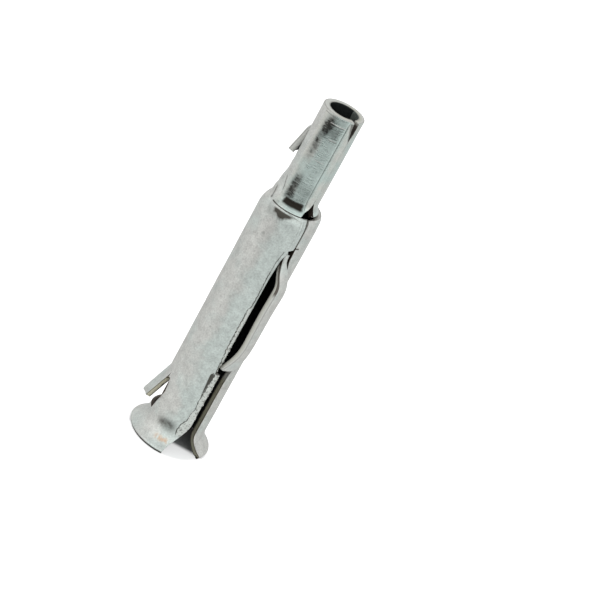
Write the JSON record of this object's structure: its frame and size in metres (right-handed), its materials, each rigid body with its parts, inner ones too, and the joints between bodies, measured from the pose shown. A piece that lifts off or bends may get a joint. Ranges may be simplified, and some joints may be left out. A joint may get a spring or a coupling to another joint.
{
  "type": "metal expansion wall anchor",
  "caption": "Sheet steel expansion plug: a rolled, slit sleeve with a flared mouth, a stepped-down nose with spreading wings, lanced barbs and a bowed finger in the seam.",
  "frame": {"origin": "centre of the sleeve's axis at the mouth's standing rim", "axes": "+Z along the sleeve's axis from the mouth to the nose; -Y is the side between the barrel barb and the seam; +X is a quarter turn towards the seam"},
  "size_m": [0.0132, 0.0132, 0.06],
  "materials": {
    "zinc_sleeve": "satin zinc plate",
    "zinc_nose": "bright drawn zinc plate",
    "zinc_tongue": "satin zinc plate with bare sheared edges"
  },
  "bodies": {
    "sleeve": {"barrel": "zinc_sleeve", "mouth_flare": "zinc_sleeve", "shoulder_neck": "zinc_sleeve", "nose_spine": "zinc_nose"},
    "front_wing": {"nose_front_wing": "zinc_nose"},
    "rear_wing": {"nose_rear_wing": "zinc_nose"},
    "upper_barb": {"nose_barb": "zinc_tongue"},
    "lower_barb": {"barrel_barb": "zinc_tongue"},
    "finger": {"seam_finger": "zinc_tongue"}
  },
  "joints": [
    {"name": "front_wing_spread", "type": "hinge", "parent": "sleeve", "child": "front_wing", "pos_m": [-0.00288, -0.00273, 0.0441], "axis": [0, 0, -1], "range_deg": [0, 20], "stiffness_Nm_per_rad": 0.02},
    {"name": "rear_wing_spread", "type": "hinge", "parent": "sleeve", "child": "rear_wing", "pos_m": [0.00201, 0.00342, 0.0441], "axis": [0, 0, 1], "range_deg": [0, 20], "stiffness_Nm_per_rad": 0.02},
    {"name": "nose_barb_press", "type": "hinge", "parent": "sleeve", "child": "upper_barb", "pos_m": [-0.00147, 0.00103, 0.0558], "axis": [-0.5736, -0.8192, 0], "range_deg": [0, 18], "stiffness_Nm_per_rad": 0.01},
    {"name": "barrel_barb_press", "type": "hinge", "parent": "sleeve", "child": "lower_barb", "pos_m": [-0.00325, 0, 0.0112], "axis": [0, -1, 0], "range_deg": [0, 18], "stiffness_Nm_per_rad": 0.01},
    {"name": "finger_press", "type": "hinge", "parent": "sleeve", "child": "finger", "pos_m": [0.00194, -0.00327, 0.0373], "axis": [0.5592, 0.829, 0], "range_deg": [0, 1.5], "stiffness_Nm_per_rad": 0.02}
  ],
  "couplings": [
    {"joint": "rear_wing_spread", "follows": "front_wing_spread", "ratio": 1}
  ]
}
